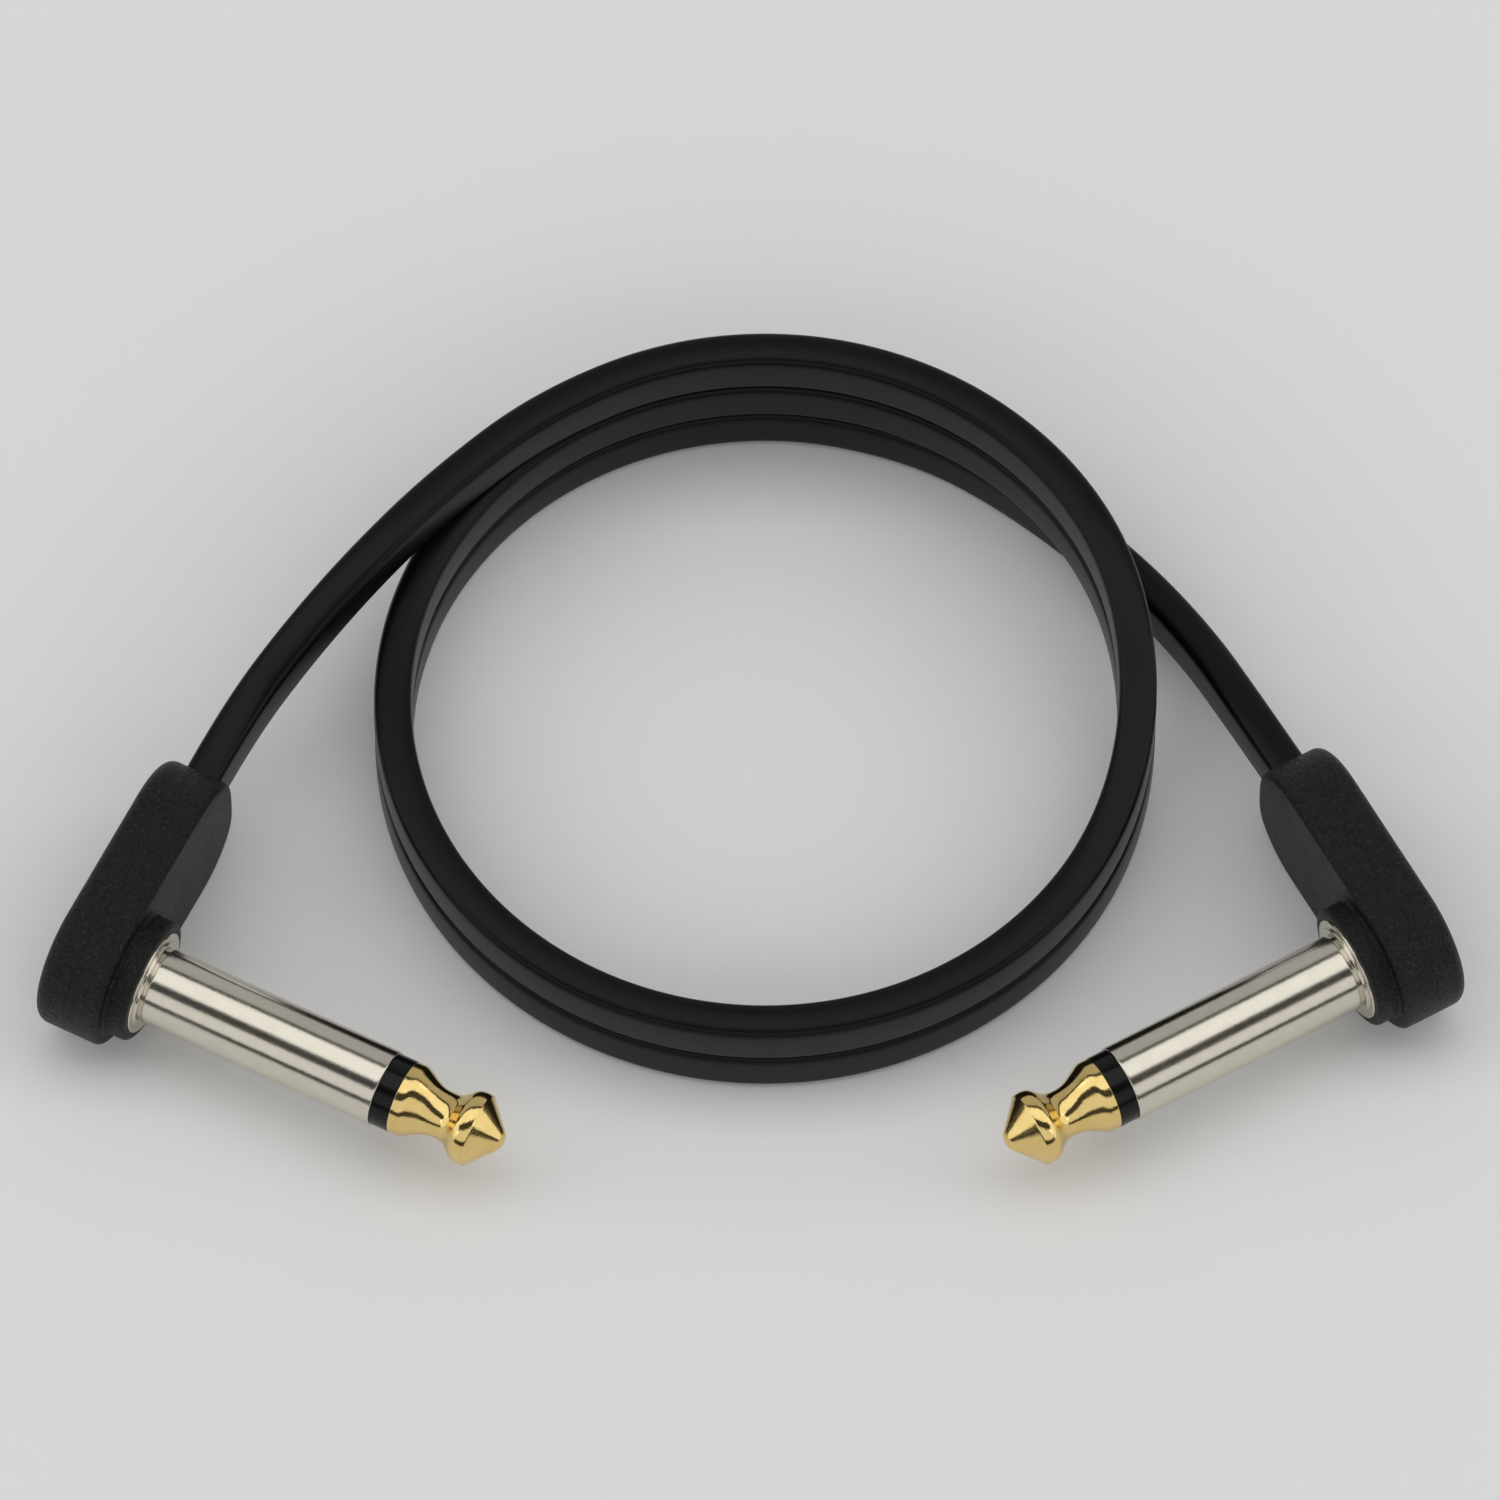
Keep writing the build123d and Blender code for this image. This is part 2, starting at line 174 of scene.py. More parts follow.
def add_softbox(name, azimuth, elevation, distance, size, brightness):
    """A soft light that looks at the cable. Azimuth 0 is in front, and 90 is on the right."""
    light = bpy.data.lights.new(name, "AREA")
    light.shape = "RECTANGLE"
    light.size, light.size_y = size
    light.energy = pi * size[0] * size[1] * brightness
    box = bpy.data.objects.new(name, light)
    across = Vector((sin(radians(azimuth)), -cos(radians(azimuth)), 0)) * cos(radians(elevation))
    box.location = distance * (across + Vector((0, 0, sin(radians(elevation)))))
    aim(box, Vector(LIGHT_TARGET))
    bpy.context.scene.collection.objects.link(box)


def add_studio():
    """A tunnel of long soft panels over a pale table, with dark gaps between them, under a dim sky."""
    for start, end, brightness in PANELS:
        middle = (start + end) / 2
        width = 2 * PANEL_DISTANCE * tan(radians((end - start) / 2))
        side, rise = (0, middle) if middle < 90 else (180, 180 - middle)
        add_softbox(f"panel_{start}", side, rise, PANEL_DISTANCE, (PANEL_LENGTH, width), brightness)
    for name, azimuth in (("box_left", -SIDE_BOX_AZIMUTH), ("box_right", SIDE_BOX_AZIMUTH)):
        add_softbox(name, azimuth, SIDE_BOX_ELEVATION, SIDE_BOX_DISTANCE, SIDE_BOX_SIZE, SIDE_BOX_BRIGHTNESS)
    world = bpy.data.worlds.new("studio")
    world.use_nodes = True
    sky = world.node_tree.nodes["Background"].inputs
    sky["Color"].default_value = SKY_COLOUR
    sky["Strength"].default_value = SKY_BRIGHTNESS
    bpy.context.scene.world = world
    bpy.context.scene.view_settings.view_transform = "Standard"


def add_floor(material):
    """The pale table top, which is staging and not part of the cable."""
    half = FLOOR_HALF
    mesh = bpy.data.meshes.new("floor")
    corners = [(-half, -half, 0), (half, -half, 0), (half, half, 0), (-half, half, 0)]
    mesh.from_pydata(corners, [], [(0, 1, 2, 3)])
    mesh.materials.append(material)
    table = bpy.data.objects.new("floor", mesh)
    bpy.context.scene.collection.objects.link(table)


# ---------------------------------------------------------------- materials

class Socket:
    """An output of a node that can be used in an expression. Each operator adds one Math node."""

    def __init__(self, finish, output):
        self.finish = finish
        self.output = output

    def maths(self, operation, first, second):
        return self.finish.node("ShaderNodeMath", {"operation": operation}, {0: first, 1: second})

    def __add__(self, other):
        return self.maths("ADD", self, other)

    def __radd__(self, other):
        return self.maths("ADD", other, self)

    def __sub__(self, other):
        return self.maths("SUBTRACT", self, other)

    def __rsub__(self, other):
        return self.maths("SUBTRACT", other, self)

    def __mul__(self, other):
        return self.maths("MULTIPLY", self, other)

    def __rmul__(self, other):
        return self.maths("MULTIPLY", other, self)


class Finish:
    """A material and its node tree."""

    def __init__(self, name):
        self.material = bpy.data.materials.new(name)
        self.material.use_nodes = True
        self.tree = self.material.node_tree
        self.tree.nodes.clear()

    def node(self, kind, settings=None, sockets=None, output=0):
        """Add a node, set what it is, then fill its sockets with values or links."""
        node = self.tree.nodes.new(kind)
        for name, value in (settings or {}).items():
            setattr(node, name, value)
        for name, value in (sockets or {}).items():
            if isinstance(value, Socket):
                self.tree.links.new(value.output, node.inputs[name])
            else:
                node.inputs[name].default_value = value
        return Socket(self, node.outputs[output])

    def place(self):
        """Where a point is on the object, in metres."""
        return self.node("ShaderNodeTexCoord", output="Object")

    def attribute(self, name):
        """A vector that a piece carries over its surface."""
        return self.node("ShaderNodeAttribute", {"attribute_name": name}, output="Vector")

    def stretch(self, vector, scale):
        """A vector with each of its parts scaled."""
        return self.node("ShaderNodeVectorMath", {"operation": "MULTIPLY"}, {0: vector, 1: scale})

    def noise(self, vector, scale, detail=2.0, roughness=0.5):
        """A cloud of values round one half."""
        return self.node("ShaderNodeTexNoise", None,
                         {"Vector": vector, "Scale": scale, "Detail": detail, "Roughness": roughness})

    def between(self, factor, low, high):
        """Straight from one value to another as the factor goes from low to high."""
        return self.node("ShaderNodeMapRange", None, {"Value": factor, "From Min": low, "From Max": high})

    def blend(self, factor, first, second):
        """A mix of two colours."""
        colours = {0: factor, 6: first, 7: second}
        return self.node("ShaderNodeMix", {"data_type": "RGBA"}, colours, output=2)

    def bump(self, height, strength, distance, under=None):
        """A normal raised by a height, over another normal if one is given."""
        sockets = {"Height": height, "Strength": strength, "Distance": distance}
        if under:
            sockets["Normal"] = under
        return self.node("ShaderNodeBump", None, sockets)

    def surface(self, **sockets):
        """Join the shader to the output. Sockets are named with _ for each space."""
        named = {name.replace("_", " "): value for name, value in sockets.items()}
        shader = self.node("ShaderNodeBsdfPrincipled", None, named)
        end = self.tree.nodes.new("ShaderNodeOutputMaterial")
        self.tree.links.new(shader.output, end.inputs["Surface"])
        return self.material


def make_floor_finish():
    """Matt paper white."""
    finish = Finish("pale_table")
    return finish.surface(Base_Color=(0.97, 0.97, 0.97, 1), Roughness=0.9, Specular_IOR_Level=0.1)


def make_body_black(name, dark, pale):
    """Moulded thermoplastic, spark-eroded matt, with paler specks painted into its colour: some dust, and
    painted glints where the grain would catch light.
    """
    finish = Finish(name)
    place = finish.place()
    grain = finish.noise(place, 2900, detail=4, roughness=0.6)
    patch = finish.noise(place, 380, detail=2)
    # Paler specks painted into the colour: some dust, and painted glints where the grain would catch light
    dust_and_glint_speck = finish.between(finish.noise(place, 4600, detail=1), 0.6, 0.72)
    colour = finish.blend(finish.between(grain, 0.4, 0.64), dark, pale)
    colour = finish.blend(dust_and_glint_speck * 0.34, colour, (0.075, 0.074, 0.072, 1))
    return finish.surface(
        Base_Color=colour,
        Roughness=0.32 + 0.1 * patch + 0.1 * grain,
        Specular_IOR_Level=0.24,
        Normal=finish.bump(grain, 1.0, 0.00022),
    )


def make_jacket():
    """Soft black jacket, drawn smooth, with faint lines along it."""
    finish = Finish("jacket_black")
    run = finish.attribute("run")
    lines = finish.noise(finish.stretch(run, (0.02, 5.0, 5.0)), 1.0, detail=2)
    patch = finish.noise(finish.stretch(run, (0.15, 0.6, 0.6)), 1.0, detail=3)
    grain = finish.noise(finish.place(), 9000, detail=2)
    colour = finish.blend(patch, (0.0015, 0.0015, 0.0016, 1), (0.0035, 0.0034, 0.0034, 1))
    relief = finish.bump(lines, 0.12, 0.00004)
    return finish.surface(
        Base_Color=colour,
        Roughness=0.27 + 0.08 * patch + 0.05 * lines,
        Specular_IOR_Level=0.19,
        Normal=finish.bump(grain, 0.1, 0.00002, relief),
    )


def make_plated(name, dark, pale, rough, line_strength):
    """Plating over a turned piece: fine rings and scratches from the lathe, a mottle and a little haze."""
    finish = Finish(name)
    lathe = finish.attribute("lathe")
    rings = finish.noise(finish.stretch(lathe, (0.05, 0.05, 9.0)), 1.0, detail=3, roughness=0.65)
    haze = finish.noise(lathe, 0.9, detail=3)
    marks = finish.noise(finish.stretch(lathe, (0.5, 0.5, 14.0)), 1.0, detail=1)
    scratch = finish.between(marks, 0.68, 0.78)
    mottle = finish.bump(finish.noise(lathe, 7.0, detail=2), 0.5, 0.000012)
    return finish.surface(
        Base_Color=finish.blend(haze, dark, pale),
        Metallic=1.0,
        Roughness=rough + 0.06 * haze + 0.05 * rings + 0.08 * scratch,
        Normal=finish.bump(rings, line_strength, 0.00002, mottle),
    )


def make_insulator():
    """Hard glossy black plastic, with faint turning rings."""
    finish = Finish("insulator_gloss")
    lathe = finish.attribute("lathe")
    rings = finish.noise(finish.stretch(lathe, (0.05, 0.05, 7.0)), 1.0, detail=2)
    return finish.surface(
        Base_Color=finish.blend(rings, (0.002, 0.002, 0.002, 1), (0.005, 0.005, 0.005, 1)),
        Roughness=0.14 + 0.1 * rings,
        Specular_IOR_Level=0.22,
        Normal=finish.bump(rings, 0.04, 0.00002),
    )


def make_inner(name, dark, pale, rough, metallic=0.0, scale=2400):
    """A piece sealed inside the plug: a worked surface with a fine grain."""
    finish = Finish(name)
    place = finish.place()
    cloud = finish.noise(place, scale, detail=4)
    grain = finish.noise(place, scale * 3, detail=2)
    return finish.surface(
        Base_Color=finish.blend(cloud, dark, pale),
        Metallic=metallic,
        Roughness=rough + 0.15 * cloud,
        Normal=finish.bump(grain, 0.2, 0.00003),
    )


# ---------------------------------------------------------------- shapes

class Plug:
    """The frame of one plug, worked out from its barrel's mount."""

    def __init__(self, side, turn):
        self.side = side
        mounts = {mount["name"]: mount for mount in frame["record"]["mounts"]}
        mount = mounts[side + "_barrel"]
        self.tipward = Vector(mount["axis"]).normalized()
        self.flange = Vector(mount["pos_m"]) - self.tipward * BARREL_WALL_MIDDLE * MM
        self.leadward = Matrix.Rotation(radians(turn), 3, "Z") @ self.tipward
        self.upward = self.tipward.cross(self.leadward)

    def place(self, lead, up, tip):
        """A point from its distances, in millimetres, towards the lead, upwards and towards the tip."""
        return self.flange + (self.leadward * lead + self.upward * up + self.tipward * tip) * MM


def finish_mesh(name, points, faces, material, smooth_angle):
    """Make an object of a mesh, with faces that meet flatter than an angle shaded as one."""
    mesh = bpy.data.meshes.new(name)
    mesh.from_pydata(points, [], faces)
    mesh.validate()
    mesh.shade_smooth()
    mesh.set_sharp_from_angle(angle=radians(smooth_angle))
    mesh.materials.append(material)
    piece = bpy.data.objects.new(name, mesh)
    bpy.context.scene.collection.objects.link(piece)
    return piece


def carry(piece, name, values):
    """Store one vector for each point of a piece."""
    layer = piece.data.attributes.new(name, "FLOAT_VECTOR", "POINT")
    layer.data.foreach_set("vector", [part for value in values for part in value])


def rounded(points, radii, steps=6):
    """A profile with its corners rounded. Each radius belongs to one point, and 0 leaves a corner sharp."""
    outline = []
    for index, (corner, radius) in enumerate(zip(points, radii)):
        corner = Vector(corner)
        if not radius:
            outline.append(tuple(corner))
            continue
        back = (Vector(points[index - 1]) - corner).normalized()
        on = (Vector(points[(index + 1) % len(points)]) - corner).normalized()
        half = back.angle(on) / 2
        middle = corner + (back + on).normalized() * radius / sin(half)
        first = corner + back * radius / tan(half) - middle
        last = corner + on * radius / tan(half) - middle
        sweep = first.angle_signed(last)
        for step in range(steps + 1):
            turned = first.copy()
            turned.rotate(Matrix.Rotation(-sweep * step / steps, 2))
            outline.append(tuple(middle + turned))
    return outline


def skin(rows, closed=False):
    """Faces between rows of points, each row once round. A row of one point is a pole."""
    starts = [sum(len(row) for row in rows[:index]) for index in range(len(rows))]
    pairs = list(zip(range(len(rows)), range(1, len(rows))))
    if closed:
        pairs.append((len(rows) - 1, 0))
    faces = []
    for below, above in pairs:
        steps = max(len(rows[below]), len(rows[above]))
        for step in range(steps):
            ahead = (step + 1) % steps
            corners = [(below, step), (below, ahead), (above, ahead), (above, step)]
            face = [starts[row] + place % len(rows[row]) for row, place in corners]
            faces.append(tuple(dict.fromkeys(face)))
    return faces


def hold(profile, reach=0.12):
    """Add a point near both ends of each long straight run, so that it stays straight when shaded smooth."""
    held = [profile[0]]
    for start, end in zip(profile, profile[1:]):
        run = Vector(end) - Vector(start)
        if run.length > 4 * reach:
            step = run.normalized() * reach
            held += [tuple(Vector(start) + step), tuple(Vector(end) - step)]
        held.append(end)
    return held


def ease(profile, start, end, spacing=0.06, passes=40):
    """Redraw one stretch of a profile in short steps and even out its curvature."""
    before = [spot for spot in profile if spot[0] <= start]
    after = [spot for spot in profile if spot[0] >= end]
    stretch = [before[-1]] + [spot for spot in profile if start < spot[0] < end] + [after[0]]
    drawn = []
    for here, there in zip(stretch, stretch[1:]):
        count = max(1, round((Vector(there) - Vector(here)).length / spacing))
        drawn += [tuple(Vector(here).lerp(Vector(there), step / count)) for step in range(count)]
    drawn.append(stretch[-1])
    for _ in range(passes):
        trios = zip(drawn, drawn[1:], drawn[2:])
        inner = [tuple((Vector(a) + 2 * Vector(b) + Vector(c)) / 4) for a, b, c in trios]
        drawn = [drawn[0]] + inner + [drawn[-1]]
    return before[:-1] + drawn + after[1:]


def turn_profile(name, plug, profile, material, closed=True, smooth_angle=28):
    """A lathe-turned piece from a profile of (distance towards the tip, radius)."""
    rows, lathe = [], []
    for depth, radius in hold(profile):
        steps = TURNED_STEPS if radius else 1
        angles = [2 * pi * step / steps for step in range(steps)]
        spots = [(radius * cos(angle), radius * sin(angle), depth) for angle in angles]
        rows.append([plug.place(*spot) for spot in spots])
        lathe += spots
    points = [point for row in rows for point in row]
    piece = finish_mesh(name, points, skin(rows, closed), material, smooth_angle)
    carry(piece, "lathe", lathe)
    return piece


def quarter(steps=6):
    """Angles of a quarter turn."""
    return [pi / 2 * step / steps for step in range(steps + 1)]


# ---------------------------------------------------------------- plug pieces

def body_reach(angle, inset):
    """How far the body's outline is from the barrel's axis in one direction. Angle 0 is towards the lead."""
    half = BODY_RADIUS - inset
    shoulder = BODY_LENGTH - NOSE_LENGTH
    along, across = cos(angle), abs(sin(angle))
    if along <= 0:
        return half
    if across * shoulder >= along * half:
        return half / across
    nose = NOSE_LENGTH / sqrt(1 - (NOSE_FLAT / 2 / BODY_RADIUS) ** 2) - inset
    square = (along / nose) ** 2 + (across / half) ** 2
    linear = along * shoulder / nose ** 2
    rest = (shoulder / nose) ** 2 - 1
    ellipse = (linear + sqrt(linear ** 2 - square * rest)) / square
    flat = (BODY_LENGTH - inset) / along
    return -NOSE_SOFTNESS * log(exp(-ellipse / NOSE_SOFTNESS) + exp(-flat / NOSE_SOFTNESS))


def add_housing(plug, material):
    """The moulded body: rounded edges, a parting line round its rim, the boss, and the hollow inside."""
    angles = [2 * pi * step / OUTLINE_STEPS for step in range(OUTLINE_STEPS)]

    def outline(depth, inset):
        reaches = [body_reach(angle, inset) for angle in angles]
        return [plug.place(reach * cos(angle), reach * sin(angle), depth)
                for angle, reach in zip(angles, reaches)]

    def circle(depth, radius):
        return [plug.place(radius * cos(angle), radius * sin(angle), depth) for angle in angles]

    rows = [[plug.place(0, 0, BODY_BACK)], outline(BODY_BACK, BACK_ROUND + HOLD)]
    rows += [outline(BODY_BACK + BACK_ROUND * (1 - cos(a)), BACK_ROUND * (1 - sin(a))) for a in quarter(8)]
    rows += [outline(BODY_BACK + BACK_ROUND + HOLD, 0), outline(LEAD_DEPTH - SEAM_HALF_WIDTH - HOLD, 0)]
    rows += [outline(LEAD_DEPTH - SEAM_HALF_WIDTH, 0), outline(LEAD_DEPTH, SEAM_DEPTH)]
    rows += [outline(LEAD_DEPTH + SEAM_HALF_WIDTH, 0), outline(LEAD_DEPTH + SEAM_HALF_WIDTH + HOLD, 0)]
    rows += [outline(BODY_FRONT - FRONT_ROUND - HOLD, 0)]
    rows += [outline(BODY_FRONT - FRONT_ROUND * (1 - sin(a)), FRONT_ROUND * (1 - cos(a))) for a in quarter()]
    rows += [outline(BODY_FRONT, FRONT_ROUND + HOLD), circle(BODY_FRONT, BOSS_RADIUS + BOSS_ROOT + HOLD)]
    rows += [circle(BODY_FRONT + BOSS_ROOT * (1 - cos(a)), BOSS_RADIUS + BOSS_ROOT * (1 - sin(a)))
             for a in quarter(4)]
    rows += [circle(BOSS_TOP - BOSS_ROUND * (1 - sin(a)), BOSS_RADIUS - BOSS_ROUND * (1 - cos(a)))
             for a in quarter()]
    rows += [circle(BOSS_TOP, FLANGE_RADIUS + FIT_GAP), circle(-FLANGE_THICKNESS, FLANGE_RADIUS + FIT_GAP)]
    rows += [circle(-FLANGE_THICKNESS, SHANK_RADIUS), circle(BODY_FRONT - FACE_WALL, SHANK_RADIUS)]
    rows += [outline(BODY_FRONT - FACE_WALL, WALL), outline(BODY_BACK + FACE_WALL, WALL)]
    rows += [[plug.place(0, 0, BODY_BACK + FACE_WALL)]]
    points = [point for row in rows for point in row]
    housing = finish_mesh(plug.side + "_body", points, skin(rows), material, 32)
    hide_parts(plug.side + "_housing")
    return housing


def add_barrel(plug, material):
    """The barrel with its flange, its step and the groove behind its shoulder."""
    corners = [
        (SPIGOT_BACK, TUBE_BORE, 0),
        (SPIGOT_BACK, SPIGOT_RADIUS, 0.05),
        (SPIGOT_FRONT, SPIGOT_RADIUS, 0),
        (SPIGOT_FRONT, SHANK_RADIUS, 0),
        (-FLANGE_THICKNESS, SHANK_RADIUS, 0),
        (-FLANGE_THICKNESS, FLANGE_RADIUS, 0),
        (0, FLANGE_RADIUS, 0.12),
        (0, STEP_RADIUS, 0.04),
        (STEP_HEIGHT, STEP_RADIUS, 0.06),
        (STEP_HEIGHT, NECK_RADIUS, 0.03),
        (STEP_HEIGHT + NECK_LENGTH, NECK_RADIUS, 0.03),
        (STEP_HEIGHT + NECK_LENGTH, BARREL_RADIUS, 0.09),
        (BARREL_LENGTH, BARREL_RADIUS, 0.09),
        (BARREL_LENGTH, TUBE_BORE, 0),
    ]
    profile = rounded([corner[:2] for corner in corners], [corner[2] for corner in corners])
    barrel = turn_profile(plug.side + "_barrel", plug, profile, material)
    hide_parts(plug.side + "_sleeve")
    return barrel


def add_ring(plug, material):
    """The insulating ring, a little under the barrel's size, with its edges broken."""
    corners = [(BARREL_LENGTH, BORE_RADIUS), (BARREL_LENGTH, RING_RADIUS),
               (RING_FRONT, RING_RADIUS), (RING_FRONT, BORE_RADIUS)]
    ring = turn_profile(plug.side + "_ring", plug, rounded(corners, [0, 0.05, 0.05, 0]), material)
    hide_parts(plug.side + "_insulating_ring")
    return ring


def add_tip(plug, material):
    """The tip: collar, cone to the waist, full bulb and blunt end, with the riveted rod behind it."""
    front = [
        (0, RING_RADIUS, 0.05),
        (TIP_COLLAR, RING_RADIUS, 0.7),
        (WAIST_START, WAIST_RADIUS, 2.2),
        (WAIST_END, WAIST_RADIUS, 1.4),
        (BULB_START, BULB_RADIUS - BULB_CROWN, 0.8),
        (BULB_MIDDLE, BULB_RADIUS, 1.8),
        (BULB_END, BULB_RADIUS - BULB_CROWN, 0.5),
        (TIP_LENGTH, TIP_END_RADIUS, 1.0),
    ]
    corners = [(TIP_LUG_BACK - HEAD_HEIGHT, 0, 0), (TIP_LUG_BACK - HEAD_HEIGHT, HEAD_RADIUS, 0.15)]
    corners += [(TIP_LUG_BACK, HEAD_RADIUS, 0), (TIP_LUG_BACK, ROD_RADIUS, 0), (RING_FRONT, ROD_RADIUS, 0)]
    corners += [(RING_FRONT + along, radius, curve) for along, radius, curve in front]
    corners += [(RING_FRONT + TIP_LENGTH, 0, 0)]
    profile = rounded([corner[:2] for corner in corners], [corner[2] for corner in corners], steps=10)
    profile = ease(profile, RING_FRONT + TIP_COLLAR / 2, RING_FRONT + BULB_MIDDLE)
    tip = turn_profile(plug.side + "_tip_contact", plug, profile, material, closed=False)
    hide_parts(plug.side + "_tip")
    return tip


# ---------------------------------------------------------------- lead

def coil_height(angle):
    """Height of the lead's middle line, which steps down once in each turn."""
    height = LEAD_TOP
    for turn, step in ((0, LEAD_WIDTH + CROSSING_GAP), (1, LEAD_WIDTH)):
        share = (RAMP_START - 360 * turn - angle) / (RAMP_START - RAMP_END)
        share = min(max(share, 0), 1)
        height -= step * share * share * (3 - 2 * share)
    return height


def coil_point(angle, reach):
    """A point at a share of the coil's radius, in millimetres."""
    spoke = radians(angle)
    across = COIL_CENTRE[0] + reach * COIL_RADIUS[0] * cos(spoke)
    along = COIL_CENTRE[1] + reach * COIL_RADIUS[1] * sin(spoke)
    return Vector((across, along, coil_height(angle)))


def plan_route(left, right):
    """The points of the lead's own spline, in metres, from the left plug to the right one.

    The spline runs inside its points, so those of the coil are moved out by the reach that brings it
    back to the coil's radius.
    """
    step = (COIL_END - COIL_START) / COIL_STEPS
    reach = 1 / (0.75 + 0.25 * cos(radians(step)))
    angles = [COIL_START + step * index for index in range(COIL_STEPS + 1)]
    turns = [coil_point(angle, reach) * MM for angle in angles]

    def plug_end(plug):
        return [plug.place(BODY_LENGTH - LEAD_TUCK, 0, LEAD_DEPTH),
                plug.place(BODY_LENGTH + STRAIGHT_RUN, STRAIGHT_RISE, LEAD_DEPTH)]

    left_end = plug_end(left) + [Vector(point) * MM for point in LEFT_END_POINTS]
    right_end = [Vector(point) * MM for point in RIGHT_END_POINTS] + plug_end(right)[::-1]
    return left_end + turns + right_end


def draw_route(points):
    """The lead's middle line, one smooth spline."""
    curve = bpy.data.curves.new("lead_route", "CURVE")
    curve.dimensions = "3D"
    curve.resolution_u = ROUTE_RESOLUTION
    spline = curve.splines.new("NURBS")
    spline.points.add(len(points) - 1)
    for control, point in zip(spline.points, points):
        control.co = (*point, 1)
    spline.order_u = 3
    spline.use_endpoint_u = True
    route = bpy.data.objects.new("lead_route", curve)
    bpy.context.scene.collection.objects.link(route)
    return route


def build_ribbon_tree():
    """Geometry nodes that draw a flat lead along a route, on its edge, with the distance along it kept."""
    tree = bpy.data.node_groups.new("upright_ribbon", "GeometryNodeTree")
    inputs = (("Route", "NodeSocketObject"), ("Width", "NodeSocketFloat"), ("Thickness", "NodeSocketFloat"),
              ("Crown", "NodeSocketFloat"), ("Flatness", "NodeSocketFloat"), ("Jacket", "NodeSocketMaterial"))
    for name, kind in inputs:
        tree.interface.new_socket(name, in_out="INPUT", socket_type=kind)
    tree.interface.new_socket("Lead", in_out="OUTPUT", socket_type="NodeSocketGeometry")

    def node(kind, settings=None, links=None):
        """Add a node, set it, and link or fill its sockets."""
        made = tree.nodes.new(kind)
        for name, value in (settings or {}).items():
            setattr(made, name, value)
        for name, value in (links or {}).items():
            if isinstance(value, bpy.types.NodeSocket):
                tree.links.new(value, made.inputs[name])
            else:
                made.inputs[name].default_value = value
        return made

    def maths(operation, *values):
        """Add a Math node and give its result."""
        made = tree.nodes.new("ShaderNodeMath")
        made.operation = operation
        for socket, value in zip(made.inputs, values):
            if isinstance(value, bpy.types.NodeSocket):
                tree.links.new(value, socket)
            else:
                socket.default_value = value
        return made.outputs[0]

    def flatten(place, power, size):
        """Push a place on the circle outwards, so that the section is flatter, and give it its size."""
        bulge = maths("POWER", maths("ABSOLUTE", place), maths("DIVIDE", 2.0, power))
        signed = maths("MULTIPLY", maths("SIGN", place), bulge)
        return maths("MULTIPLY", signed, maths("DIVIDE", size, 2.0))

    given = tree.nodes.new("NodeGroupInput").outputs
    route = node("GeometryNodeObjectInfo", None, {"Object": given["Route"]})
    measured = tree.nodes.new("GeometryNodeCaptureAttribute")
    measured.capture_items.new("FLOAT", "Along")
    tree.links.new(route.outputs["Geometry"], measured.inputs["Geometry"])
    tree.links.new(tree.nodes.new("GeometryNodeSplineParameter").outputs["Length"], measured.inputs["Along"])
    upright = node("GeometryNodeSetCurveNormal", {"mode": "Z_UP"}, {"Curve": measured.outputs["Geometry"]})
    circle = node("GeometryNodeCurvePrimitiveCircle", {"mode": "RADIUS"}, {
        "Resolution": SECTION_STEPS, "Radius": 1.0})
    turn = node("ShaderNodeSeparateXYZ", None, {
        "Vector": tree.nodes.new("GeometryNodeInputPosition").outputs["Position"]})
    thick = flatten(turn.outputs["X"], given["Crown"], given["Thickness"])
    tall = flatten(turn.outputs["Y"], given["Flatness"], given["Width"])
    outline = node("ShaderNodeCombineXYZ", None, {"X": thick, "Y": tall})
    section = node("GeometryNodeSetPosition", None, {
        "Geometry": circle.outputs["Curve"], "Position": outline.outputs[0]})
    shaped = tree.nodes.new("GeometryNodeCaptureAttribute")
    shaped.capture_items.new("VECTOR", "Across")
    tree.links.new(section.outputs["Geometry"], shaped.inputs["Geometry"])
    tree.links.new(tree.nodes.new("GeometryNodeInputPosition").outputs["Position"], shaped.inputs["Across"])
    swept = node("GeometryNodeCurveToMesh", None, {
        "Curve": upright.outputs["Curve"], "Profile Curve": shaped.outputs["Geometry"], "Fill Caps": True})
    across = node("ShaderNodeSeparateXYZ", None, {"Vector": shaped.outputs["Across"]})
    run = node("ShaderNodeCombineXYZ", None, {
        "X": measured.outputs["Along"], "Y": across.outputs["X"], "Z": across.outputs["Y"]})
    millimetres = node("ShaderNodeVectorMath", {"operation": "SCALE"}, {
        "Vector": run.outputs[0], "Scale": 1 / MM})
    kept = node("GeometryNodeStoreNamedAttribute", {"data_type": "FLOAT_VECTOR"}, {
        "Geometry": swept.outputs["Mesh"], "Name": "run", "Value": millimetres.outputs[0]})
    real = node("GeometryNodeRealizeInstances", None, {"Geometry": kept.outputs["Geometry"]})
    coated = node("GeometryNodeSetMaterial", None, {
        "Geometry": real.outputs["Geometry"], "Material": given["Jacket"]})
    end = tree.nodes.new("NodeGroupOutput")
    tree.links.new(coated.outputs["Geometry"], end.inputs["Lead"])
    return tree


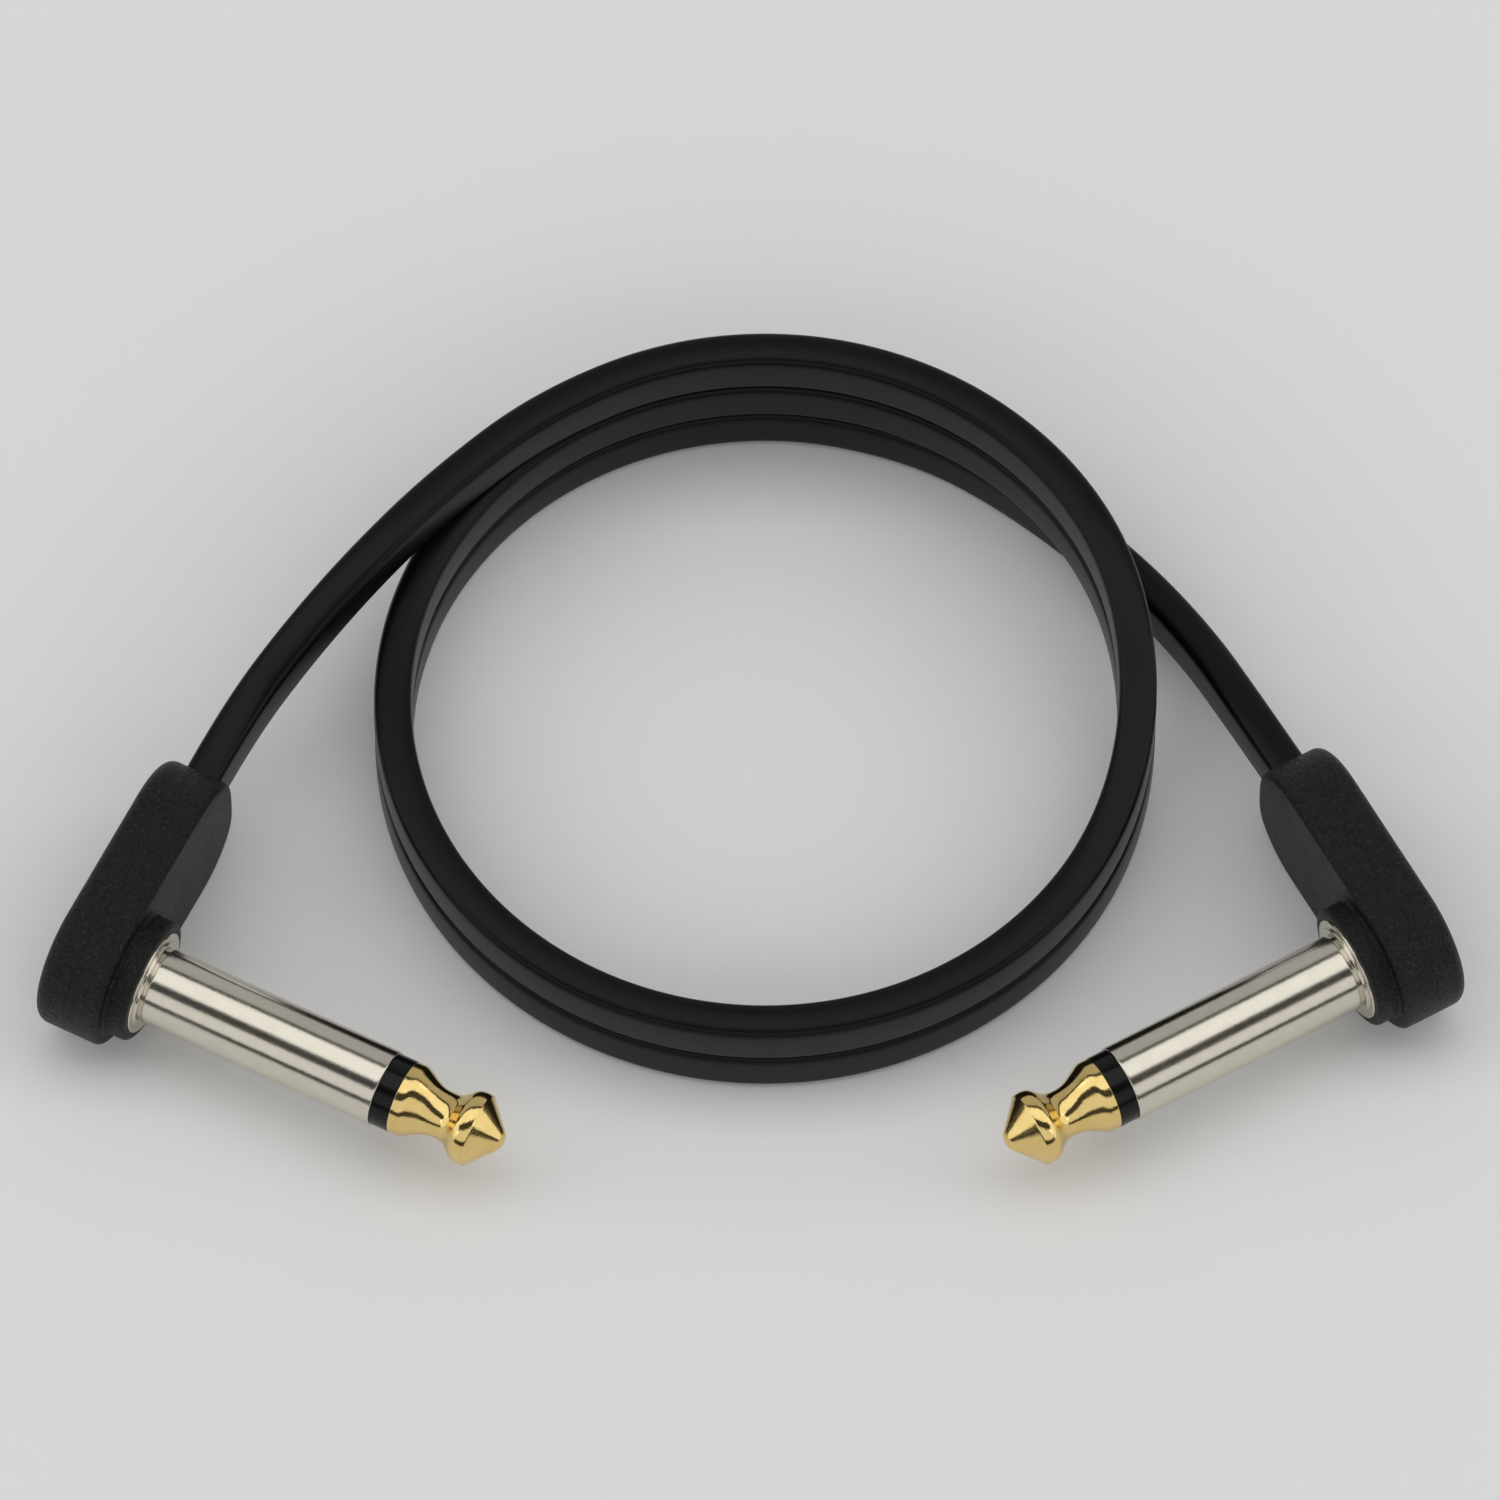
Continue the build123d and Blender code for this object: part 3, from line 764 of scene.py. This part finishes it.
def add_lead(left, right, jacket):
    """The whole lead, one closed strip from plug to plug."""
    route = draw_route(plan_route(left, right))
    middle_line = bpy.data.meshes.new_from_object(route)
    path = [vertex.co.copy() for vertex in middle_line.vertices]
    host = bpy.data.objects.new("lead", bpy.data.meshes.new("lead"))
    bpy.context.scene.collection.objects.link(host)
    tree = build_ribbon_tree()
    modifier = host.modifiers.new("ribbon", "NODES")
    modifier.node_group = tree
    sizes = {"Route": route, "Width": LEAD_WIDTH * MM, "Thickness": LEAD_THICKNESS * MM,
             "Crown": LEAD_CROWN, "Flatness": LEAD_FLATNESS, "Jacket": jacket}
    for name, value in sizes.items():
        modifier[tree.interface.items_tree[name].identifier] = value
    host.update_tag()
    bpy.context.view_layer.update()
    shape = bpy.data.meshes.new_from_object(host.evaluated_get(bpy.context.evaluated_depsgraph_get()))
    host.modifiers.clear()
    host.data = shape
    shape.shade_smooth()
    shape.set_sharp_from_angle(angle=radians(LEAD_SMOOTH_ANGLE))
    bpy.data.objects.remove(route)
    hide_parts("lead_left_end", "lead_coil", "lead_right_end")
    return host, path


# ---------------------------------------------------------------- the cable

def finish_inner_pieces():
    """Give every sealed piece of both plugs its own finish."""
    steel = make_inner("tinned_brass", (0.62, 0.6, 0.56, 1), (0.74, 0.72, 0.68, 1), 0.22, metallic=1.0)
    copper = make_inner("bare_copper", (0.62, 0.3, 0.18, 1), (0.8, 0.45, 0.3, 1), 0.3, metallic=1.0)
    solder = make_inner("solder", (0.5, 0.5, 0.51, 1), (0.68, 0.68, 0.7, 1), 0.28, metallic=1.0)
    fibre = make_inner("black_fibre", (0.012, 0.012, 0.012, 1), (0.03, 0.03, 0.03, 1), 0.5)
    block = make_inner("sealing_block", (0.02, 0.02, 0.02, 1), (0.045, 0.044, 0.043, 1), 0.5)
    white = make_inner("core_white", (0.72, 0.72, 0.7, 1), (0.84, 0.84, 0.82, 1), 0.35)
    jacket = make_inner("jacket_inside", (0.012, 0.012, 0.012, 1), (0.02, 0.02, 0.02, 1), 0.45)
    finishes = {"inner_block": block, "insulating_tube": fibre, "rear_washer": fibre, "tip_lug": steel,
                "earth_lug": steel, "jacket_end": jacket, "screen": copper, "core": white,
                "conductor": copper, "tip_solder": solder, "earth_solder": solder}
    for side in ("left", "right"):
        for name, finish in finishes.items():
            slots = frame["nodes"][side + "_" + name].data.materials
            slots.clear()
            slots.append(finish)


def add_plug(plug, body, nickel, insulator, gold):
    """The four visible pieces of a plug, on the cable's one body."""
    pieces = [
        add_housing(plug, body),
        add_barrel(plug, nickel),
        add_ring(plug, insulator),
        add_tip(plug, gold),
    ]
    for piece in pieces:
        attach(piece, "root")
    return pieces


add_camera()
add_studio()
add_floor(make_floor_finish())
body = make_body_black("body_black", (0.0015, 0.0015, 0.0016, 1), (0.0095, 0.0092, 0.0092, 1))
nickel = make_plated("nickel_plate", (0.64, 0.60, 0.51, 1), (0.74, 0.70, 0.60, 1), 0.1, 0.16)
gold = make_plated("gold_plate", (0.76, 0.54, 0.18, 1), (0.88, 0.68, 0.3, 1), 0.05, 0.06)
insulator = make_insulator()
left_plug = Plug("left", 90)
right_plug = Plug("right", -90)
add_plug(left_plug, body, nickel, insulator, gold)
far_plug = add_plug(right_plug, body, nickel, insulator, gold)
finish_inner_pieces()
lead, lead_path = add_lead(left_plug, right_plug, make_jacket())
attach(lead, "root")
tuple(left_plug.place(BODY_LENGTH, 0, LEAD_DEPTH))
